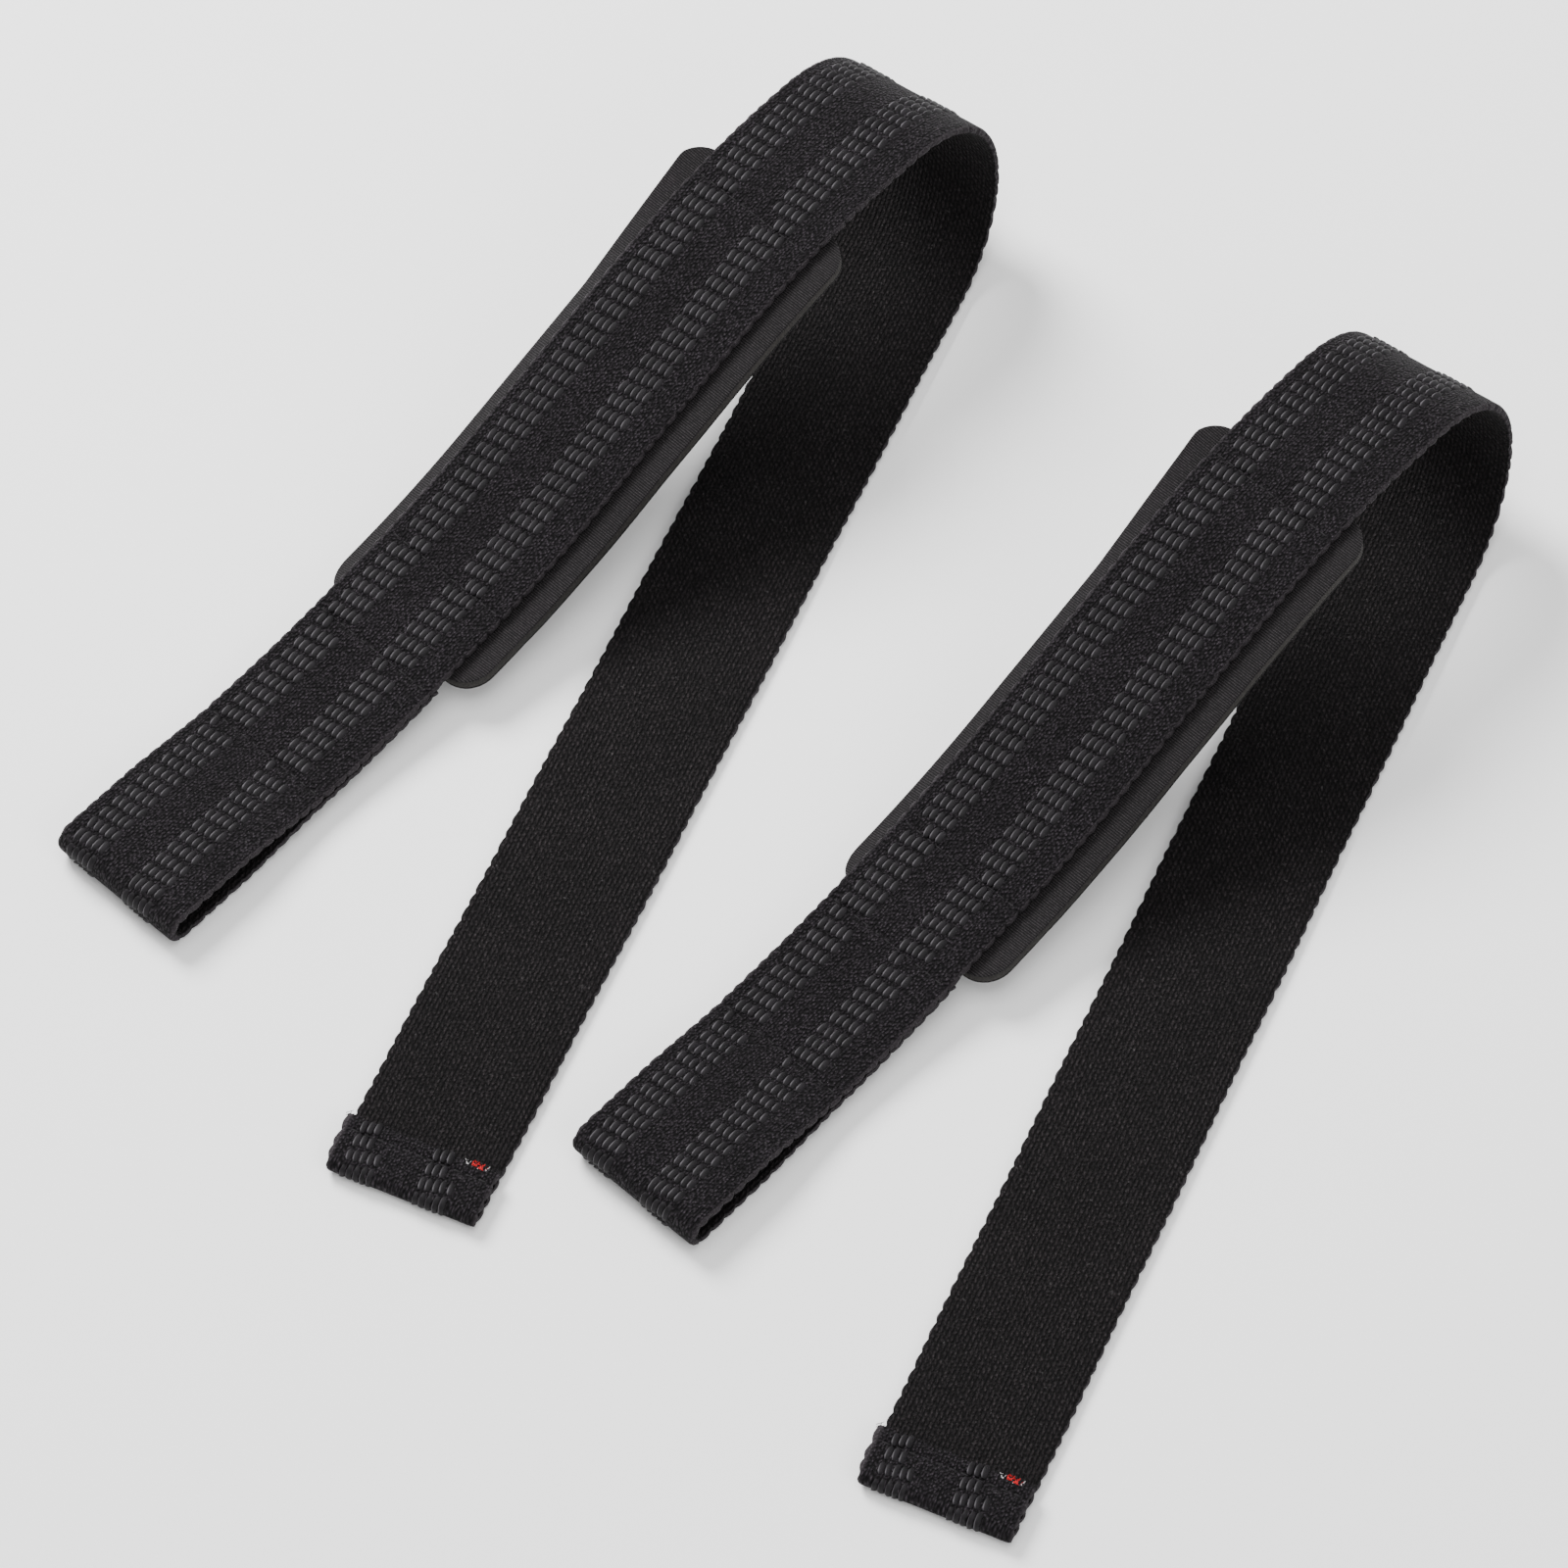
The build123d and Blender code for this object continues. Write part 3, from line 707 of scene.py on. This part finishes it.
# %% One grain
CORD_PITCH, BAND_PITCH, CORDS_IN_BAND = 1.68 * mm, 18.4 * mm, 5
LEFT_BAND = -11.2 * mm  # the middle cord of the left band, from the strap's middle
GRAIN_SIZE = (1.72 * mm, 3.50 * mm, 1.00 * mm)
GRAIN_TILT, GRAIN_LEAN = radians(-23), radians(-3)
deselect()
bpy.ops.mesh.primitive_uv_sphere_add(segments=12, ring_count=6, radius=0.5, rotation=(pi / 2, 0, 0))
grain = place_in_mesh(new_piece("grain"))
choose(grain, "VERT", lambda at: 0.1 < abs(at.y) < 0.46)
bpy.ops.transform.resize(value=(1.10, 1.08, 1.10))
choose(grain, "VERT", lambda at: at.z < -0.2)
bpy.ops.transform.resize(value=(1.0, 1.0, 0.62), center_override=(0, 0, 0))
choose(grain, "VERT", lambda at: at.z > 0.05)
bpy.ops.transform.resize(value=(1.0, 1.0, 0.4), center_override=(0, 0, 0))
deselect()
grain.scale = GRAIN_SIZE
grain.rotation_euler = (0, GRAIN_TILT, GRAIN_LEAN)
grain.location = (LEFT_BAND - 2 * CORD_PITCH, 0, -BACK - 0.02 * mm)
place_in_mesh(grain)
smooth(grain, 180)
GRAIN_POINTS = len(grain.data.vertices)
print("grain", [round(v / mm, 2) for v in grain.dimensions], "mm,", len(grain.data.polygons), "faces")


# %% Bands of grains
CLEAR_OF_CUT, CLEAR_OF_SEWING = 1.2 * mm, 1.5 * mm
RIM_REACH = 0.94 * mm  # from a grain's middle to its raised edge


def grains_on(name):
    start, end = LENGTHS[name][:2]
    first = HEM_CUT + FLOAT_PITCH * np.ceil((start - 4 * mm - HEM_CUT) / FLOAT_PITCH)
    rows = int((end + 4 * mm - first) / FLOAT_PITCH) + 1
    pick(grain)
    bpy.ops.object.duplicate()
    piece = new_piece(f"left_grains_{name}")
    piece.location = (0, first + 1.9 * mm, 0)
    place_in_mesh(piece)
    repeats = ((CORDS_IN_BAND, (CORD_PITCH, -0.3 * mm, 0)), (2, (BAND_PITCH, 0, 0)),
               (rows, (0, FLOAT_PITCH, 0)))
    for count, offset in repeats:
        finish_with(piece, "ARRAY", count=count, use_relative_offset=False,
                    use_constant_offset=True, constant_offset_displace=offset)
    flat = points(piece).reshape(-1, GRAIN_POINTS, 3)
    middle = flat.mean(axis=1, keepdims=True)
    square = middle[:, 0, 1] + slant_at(name, middle[:, 0, 1]) * tan(SPLAY) * middle[:, 0, 0]
    low = start + CLEAR_OF_CUT if name == "tail" else start
    high = end - CLEAR_OF_CUT if name == "doubled" else end
    keep = (square >= low) & (square < high)
    for row in all_rows:
        keep &= np.abs(middle[:, 0, 1] - row) > CLEAR_OF_SEWING
    turn = rng.normal(0, radians(3), len(flat))[:, None]
    size = 1 + rng.normal(0, 0.03, (len(flat), 1, 3))
    away = (flat - middle) * size
    turned = np.stack([away[..., 0] * np.cos(turn) - away[..., 1] * np.sin(turn),
                       away[..., 0] * np.sin(turn) + away[..., 1] * np.cos(turn), away[..., 2]], 2)
    nudge = rng.normal(0, 0.05 * mm, (len(flat), 1, 3)) * (1, 1.5, 0.5)
    move_points(piece, (middle + nudge + turned).reshape(-1, 3))
    # rim is 1 at each grain's raised edge, where the rubber finish paints a highlight.
    raised = (-away[..., 0] + 0.22 * away[..., 1]) / RIM_REACH
    rim = piece.data.attributes.new("rim", "FLOAT", "POINT")
    rim.data.foreach_set("value", np.clip(raised, 0, 1).astype(np.float32).ravel())
    lost = np.repeat(~keep, GRAIN_POINTS)
    pick(piece)
    bpy.ops.object.mode_set(mode="EDIT")
    mesh = bmesh.from_edit_mesh(piece.data)
    for vertex, gone in zip(mesh.verts, lost):
        vertex.select_set(bool(gone))
    mesh.select_flush_mode()
    bmesh.update_edit_mesh(piece.data)
    bpy.ops.mesh.delete(type="VERT")
    bpy.ops.object.mode_set(mode="OBJECT")
    return piece


grains = {name: grains_on(name) for name in LENGTHS}
print("grains", sum(len(piece.data.vertices) for piece in grains.values()) // GRAIN_POINTS)

# %% [markdown]
# ## Sewing
#
# The rows are straight lockstitch in heavy black thread. A stitch is a short bar that sinks into the
# cloth at its ends, and here it lies low in its dent, so that the dent shows more than the thread. A
# curve with a round section could give the thread too, but a stitch is so short that a few cuts do.
# One is made from a cylinder, its ends drawn in, and an Array modifier repeats it across the strap.
# The same row is then copied to each sewn place.

# %% One row of stitches
THREAD_RADIUS, STITCH_LENGTH, STITCH_PITCH, STITCHES = 0.36 * mm, 2.5 * mm, 3.24 * mm, 11
deselect()
bpy.ops.mesh.primitive_cylinder_add(vertices=8, radius=THREAD_RADIUS, depth=STITCH_LENGTH,
                                    rotation=(0, pi / 2, 0))
stitch = place_in_mesh(new_piece("stitch"))
near_end = STITCH_LENGTH / 2 - 0.05 * mm
for draw_in, inset in ((0.35 * mm, 0.80), (0.25 * mm, 0.62)):
    for side in (-1, 1):
        choose(stitch, "FACE", lambda at: at.x * side > near_end)
        bpy.ops.mesh.extrude_region_move(
            TRANSFORM_OT_translate={"value": (side * draw_in, 0, 0.13 * mm)})
        bpy.ops.transform.resize(value=(1, inset, inset))
deselect()
smooth(stitch, 70)
finish_with(stitch, "ARRAY", count=STITCHES, use_relative_offset=False, use_constant_offset=True,
            constant_offset_displace=(STITCH_PITCH, 0, 0))
stitch.location = (-(STITCHES - 1) / 2 * STITCH_PITCH, 0, 0)
place_in_mesh(stitch)
print("row of stitches", len(stitch.data.polygons), "faces")


def sewn_row(along, depth):
    """A row across the flat strap, on the front face if the depth is negative and else on the back."""
    pick(stitch)
    bpy.ops.object.duplicate()
    row = new_piece("row")
    row.location = (0, along, depth)
    if depth > 0:
        row.rotation_euler = (0, pi, 0)
    return place_in_mesh(row)


def join(name, pieces):
    deselect()
    for piece in pieces:
        piece.select_set(True)
    bpy.context.view_layer.objects.active = pieces[0]
    bpy.ops.object.join()
    return new_piece(name)


# %% The same row at each sewn place
PAD_THICKNESS = 4.0 * mm
PAD_BACK = BACK + PAD_THICKNESS
PAD_SEWING, LOOP_SEWING = ("pad near", "pad far"), ("mouth", "doubled end")
sunk = BACK - 0.66 * mm
sunk_in_pad = PAD_BACK - 0.55 * mm
pad_rows = [sewn_row(leg_at(ROWS_ON_LEG[key]), -sunk) for key in PAD_SEWING]
pad_rows += [sewn_row(leg_at(ROWS_ON_LEG[key]), sunk_in_pad) for key in PAD_SEWING]
loop_rows = [sewn_row(leg_at(ROWS_ON_LEG[key]), -sunk) for key in LOOP_SEWING]
loop_rows += [sewn_row(doubled_at(ROWS_ON_LEG[key]), -sunk) for key in LOOP_SEWING]
hem_rows = [sewn_row(HEM_ROW, -sunk), sewn_row(UNDER_HEM_ROW, -sunk)]
sewing = {"pad": join("left_pad_sewing", pad_rows), "loop": join("left_loop_sewing", loop_rows),
          "hem": join("left_hem_sewing", hem_rows)}
print("sewing", {name: len(piece.data.polygons) for name, piece in sewing.items()})

# %% [markdown]
# ## Cut ends
#
# Where the webbing is cut its last yarns fray. Along the hem they are a short fuzz, longer at the two
# corners, and the red and white marker yarns stand out near the right one. The doubled end under the
# leg has a little fuzz too. Blender's hair could grow such a fuzz, but it leaves no mesh to export. So
# each of three threads is extruded from a small ring in a few turns, thinner at its tip, and copies of
# them are scaled, turned and spread along the cut.

# %% Loose threads
def loose_thread(name, radius, turns):
    """A thread one unit long, which goes off sideways and upwards by each pair of turns."""
    deselect()
    bpy.ops.mesh.primitive_circle_add(vertices=5, radius=radius, fill_type="NGON",
                                      rotation=(pi / 2, 0, 0))
    thread = place_in_mesh(new_piece(name))
    bpy.ops.object.mode_set(mode="EDIT")
    bpy.ops.mesh.select_all(action="SELECT")
    for sideways, upwards in turns:
        bpy.ops.mesh.extrude_region_move(TRANSFORM_OT_translate={"value": (sideways, -0.25, upwards)})
        bpy.ops.transform.resize(value=(0.86, 1, 0.86))
    bpy.ops.mesh.select_all(action="SELECT")
    bpy.ops.mesh.normals_make_consistent(inside=False)
    deselect()
    return smooth(thread, 80)


thread_shapes = [
    loose_thread("fray_a", 0.060, ((0.02, 0.03), (0.05, 0.02), (0.08, -0.02), (0.05, -0.06))),
    loose_thread("fray_b", 0.055, ((-0.03, -0.01), (-0.07, 0.05), (-0.02, 0.08), (0.06, 0.04))),
    loose_thread("fray_c", 0.065, ((0.01, 0.04), (-0.04, 0.07), (-0.10, 0.02), (-0.07, -0.07))),
]
print("loose threads", [len(thread.data.polygons) for thread in thread_shapes], "faces")


# %% Tufts of threads
def tuft(name, count, place, length, spread, thickness=1.0, towards=0.0):
    """Copies of the loose threads as one piece. place gives the root of each, on the flat strap."""
    verts, faces = [], []
    for number in range(count):
        shape = thread_shapes[number % len(thread_shapes)]
        flat = points(shape)
        long = length * rng.uniform(0.5, 1.15)
        flat = flat * (long * thickness, long, long * thickness)
        turn = towards + rng.normal(0, spread)
        lift = rng.normal(0, spread * 0.45)
        x = flat[:, 0] * cos(turn) - flat[:, 1] * sin(turn)
        y = flat[:, 0] * sin(turn) + flat[:, 1] * cos(turn)
        z = flat[:, 2] + y * sin(lift)
        start = len(verts)
        verts += [tuple(v) for v in np.stack([x, y, z], 1) + np.array(place())]
        faces += [[start + v for v in face.vertices] for face in shape.data.polygons]
    mesh = bpy.data.meshes.new(name)
    mesh.from_pydata(verts, [], faces)
    piece = bpy.data.objects.new(name, mesh)
    bpy.context.scene.collection.objects.link(piece)
    return smooth(piece, 80)


# %% Where the threads are rooted
half = WIDTH / 2


def anywhere(low, high):
    """A chance distance between two that are given in millimetres."""
    return rng.uniform(low, high) * mm


def left_corner():
    return -half - 0.5 * mm + rng.normal(0, 0.35 * mm), HEM_CUT + anywhere(0, 1.1), anywhere(-0.6, 0.6)


def right_corner():
    return half - 0.2 * mm + rng.normal(0, 0.3 * mm), HEM_CUT + anywhere(0, 1.2), anywhere(-0.6, 0.6)


def along_the_hem():
    return rng.uniform(-half, half - 0.3 * mm), HEM_CUT + 0.35 * mm, anywhere(-0.55, 0.55)


def along_the_doubled_end():
    return rng.uniform(-half + 0.4 * mm, half - 0.4 * mm), DOUBLED_CUT - 0.2 * mm, anywhere(-0.5, 0.5)


def marker_yarns(name, count, places):
    """Bunches of coloured yarn ends. places gives each bunch across the hem and back from its cut."""
    bunches = []
    for across, back in places:
        def root():
            return (across + rng.normal(0, 0.16 * mm), HEM_CUT + (0.9 + back) * mm,
                    -0.75 * mm + rng.normal(0, 0.12 * mm))
        bunches.append(tuft("yarn", count, root, 1.4 * mm, 0.3, 2.2))
    return join(name, bunches)


# %% Frays and marker yarns
frays = {"hem": join("left_hem_fray", [
    tuft("fuzz", 230, along_the_hem, 1.1 * mm, 0.5),
    tuft("left tuft", 34, left_corner, 2.0 * mm, 0.55, 0.7, 1.2),
    tuft("right tuft", 26, right_corner, 1.6 * mm, 0.55, 0.7, -1.1)])}
frays["doubled"] = tuft("left_doubled_fray", 110, along_the_doubled_end, 0.8 * mm, 0.4, 1.0, pi)
inset = half - 2.4 * mm
frays["red"] = marker_yarns("left_red_yarn", 9, [
    (inset - 4.2 * mm, 0.1), (inset - 3.5 * mm, 0.0), (inset - 2.3 * mm, 0.3), (inset - 1.7 * mm, 0.35)])
frays["white"] = marker_yarns("left_white_yarn", 3, [
    (inset - 5.4 * mm, 0.2), (inset - 2.9 * mm, 0.5), (inset - 0.6 * mm, 0.2)])
for name, piece in frays.items():
    print("fray", name, len(piece.data.polygons), "faces")

# %% [markdown]
# ## The pad
#
# The pad is soft foam between two layers of ribbed jersey, cut through all three at once, with rounded
# corners. It is wider than the webbing. Its free edges lift a little beside it, except that the left
# one droops and draws in towards the loop, and the two rows of sewing pull the pad in. Each layer is
# a plane whose corners are bevelled, cut across and along by bisecting so that it can bend, then given
# its thickness. Cloth simulation was passed over: the pad is held flat all over by the webbing, and a
# voxel mesh would lose the thin layers.

# %% One layer of the pad
PAD_FIRST = leg_at(LEG_LENGTH - PAD_START - PAD_LENGTH)
CORNER, JERSEY = 8 * mm, 0.6 * mm
CUTS_ACROSS = np.arange(1.3, 140.5, 2.0) * mm  # clear of the corners' own points
CUTS_ALONG = (-24.5, -23, -21, -19.4, -16, -11, -5.5, 0, 5.5, 11, 16, 19.4, 21, 23, 24.5)


def pad_layer(name, low, high, rim, grow=0.0):
    """A layer between two depths on the flat strap, with its rim rounded by this much."""
    deselect()
    bpy.ops.mesh.primitive_plane_add(size=1.0, location=(0, PAD_FIRST + PAD_LENGTH / 2, 0))
    piece = new_piece(f"left_wrist_pad_{name}")
    piece.scale = (PAD_WIDTH + 2 * grow, PAD_LENGTH + 2 * grow, 1)
    place_in_mesh(piece)
    choose(piece, "VERT", lambda at: True)
    bpy.ops.mesh.bevel(offset=CORNER + grow, segments=10, affect="VERTICES")
    cuts = [((0, PAD_FIRST + at, 0), (0, 1, 0)) for at in CUTS_ACROSS]
    cuts += [((at * mm, 0, 0), (1, 0, 0)) for at in CUTS_ALONG]
    for place, facing in cuts:
        bpy.ops.mesh.select_all(action="SELECT")
        bpy.ops.mesh.bisect(plane_co=place, plane_no=facing)
    deselect()
    piece.location = (0, 0, (low + high) / 2)
    place_in_mesh(piece)
    finish_with(piece, "SOLIDIFY", thickness=high - low, offset=0.0)
    finish_with(piece, "BEVEL", width=rim, segments=2, limit_method="ANGLE", angle_limit=radians(50))
    return smooth(piece, 60)


def shape_pad(piece):
    """Pulls the pad in along its sewing, and lifts or droops its free edges beside the webbing."""
    flat = points(piece)
    across, along, depth = flat.T
    through = (depth - BACK) / (PAD_BACK - BACK)
    beside = np.clip((np.abs(across) - half) / (PAD_WIDTH / 2 - half), 0, 1)
    under = 1 - np.clip((np.abs(across) - 15 * mm) / (6 * mm), 0, 1)
    for key in PAD_SEWING:
        near = np.exp(-(((along - leg_at(ROWS_ON_LEG[key])) / (2.4 * mm)) ** 2))
        depth -= near * through * 0.62 * mm * (0.35 + 0.65 * under)
    swell = np.sin(along * 83 + np.sign(across) * 0.9) * 0.22 + np.sin(along * 211 + 1.3) * 0.12
    droop = np.clip((along - PAD_FIRST - 6 * mm) / (40 * mm), 0, 1) ** 0.7 * (across < 0) * beside
    across += droop * 2.3 * mm
    depth += droop * 2.4 * mm - (beside ** 1.4 - droop) * (0.50 + swell) * mm
    depth += (through - 0.5) * (1 - beside ** 3) * 0.18 * mm * np.sin(along * 46 + 0.4)
    under_webbing = np.abs(across) < half + 0.4 * mm
    depth += np.clip(BACK - depth, 0, None) * under_webbing
    move_points(piece, np.stack([across, along, np.maximum(depth, BACK - 1.2 * mm)], 1))
    return piece


pad = {
    "cover": shape_pad(pad_layer("cover", BACK + 0.02 * mm, BACK + JERSEY, 0.20 * mm)),
    "foam": shape_pad(pad_layer("foam", BACK + JERSEY, PAD_BACK - JERSEY, 0.45 * mm, -0.05 * mm)),
    "lining": shape_pad(pad_layer("lining", PAD_BACK - JERSEY, PAD_BACK, 0.22 * mm)),
}
print("pad", {name: len(piece.data.polygons) for name, piece in pad.items()})

# %% [markdown]
# ## Laying the pieces, and the second strap
#
# Now every flat piece is laid on the strap's line. The second strap is the same as the first, moved to
# its side, so each piece is copied with its own mesh. Each piece that rides on one body is then tied to
# that body of the model, so that it moves with it, and the solid parts that each piece stands for are
# hidden. Webbing and grains, which cross a joint where the cloth bends, are tied to no body: their place
# is only fixed in their mesh. Everything else rides on one body.

# %% Lay and copy
CORDS_STOOD_FOR = {
    "tail": ["tail_cords", "hem_cords"], "bend_low": ["bend_cords_1"], "bend_middle": ["bend_cords_2"],
    "bend_high": ["bend_cords_3"], "wrist": ["bend_cords_4", "wrist_cords"],
    "mouth_upper": ["loop_upper_near_cords"], "loop_upper": ["loop_upper_far_cords"],
    "loop_lower": ["loop_lower_far_cords"], "doubled": ["loop_lower_near_cords"],
}
made = []  # piece, finish, slot, body or the length it bends with, and the nodes it stands for
for name in LENGTHS:
    smooth(webbing[name])
    made.append((webbing[name], black_webbing, "webbing", name, STANDS_FOR[name]))
    made.append((grains[name], dark_rubber, "rubber_cord", name, CORDS_STOOD_FOR[name]))
made += [
    (sewing["pad"], black_thread, "thread", "wrist", ["pad_stitching"]),
    (sewing["loop"], black_thread, "thread", "wrist", ["loop_stitching"]),
    (sewing["hem"], black_thread, "thread", "tail", ["hem_stitching"]),
    (frays["hem"], black_thread, "thread", "tail", []),
    (frays["doubled"], black_thread, "thread", "wrist", []),
    (frays["red"], red_yarn, "marker_yarn", "tail", ["marker_yarns"]),
    (frays["white"], white_yarn, "marker_yarn", "tail", []),
    (pad["cover"], black_jersey, "pad_jersey", "wrist", ["pad_cover"]),
    (pad["foam"], cut_foam, "pad_foam", "wrist", ["pad_foam"]),
    (pad["lining"], black_jersey, "pad_jersey", "wrist", ["pad_lining"]),
]


def copy_for_right(piece):
    pick(piece)
    bpy.ops.object.duplicate()
    twin = new_piece(piece.name.replace("left_", "right_"))
    twin.location = PAIR_STEP
    return place_in_mesh(twin)


def middle_at(along, side):
    """Where the middle of one side's strap lies, at a place along the flat strap."""
    placed = Vector(lay([(0, along, 0)])[0])
    return placed + (PAIR_STEP if side == "right" else Vector())


def tie(piece, side, name, bends):
    """Lets a piece ride on one body; a piece that bends is only fixed in place in its mesh."""
    if not bends:
        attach(piece, f"{side}_{name}")
        return
    start, end = (middle_at(along, side) for along in TURNS_OVER[name])
    turns_in_bend = name in ("tail", "wrist") or "bend" in name
    start.x = end.x = (start.x + end.x) / 2 if turns_in_bend else start.x
    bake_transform(piece)


for piece, material, slot_name, name, nodes in made:
    lay_piece(piece)
    piece.data.materials.clear()
    piece.data.materials.append(material)
    twin = copy_for_right(piece)
    for side, one in (("left", piece), ("right", twin)):
        bends = slot_name in ("webbing", "rubber_cord")
        tie(one, side, name, bends)
        if nodes:
            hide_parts(*[f"{side}_{node}" for node in nodes])
print("pieces", 2 * len(made))

# %% [markdown]
# ## Cloth and padding
#
# The lengths of webbing and the two jersey layers are cloth: the leg's webbing and the jersey lie
# straight, and the other lengths are folded round the bend, the hem or the loop. The foam is padding.
# The loop below only works out the span of each length on the flat strap, and keeps nothing.

for side in ("left", "right"):
    for name, (start, end, *_) in LENGTHS.items():
        end - start

# %% Put away the samples
for sample in [grain, stitch] + thread_shapes:
    bpy.data.objects.remove(sample)
deselect()
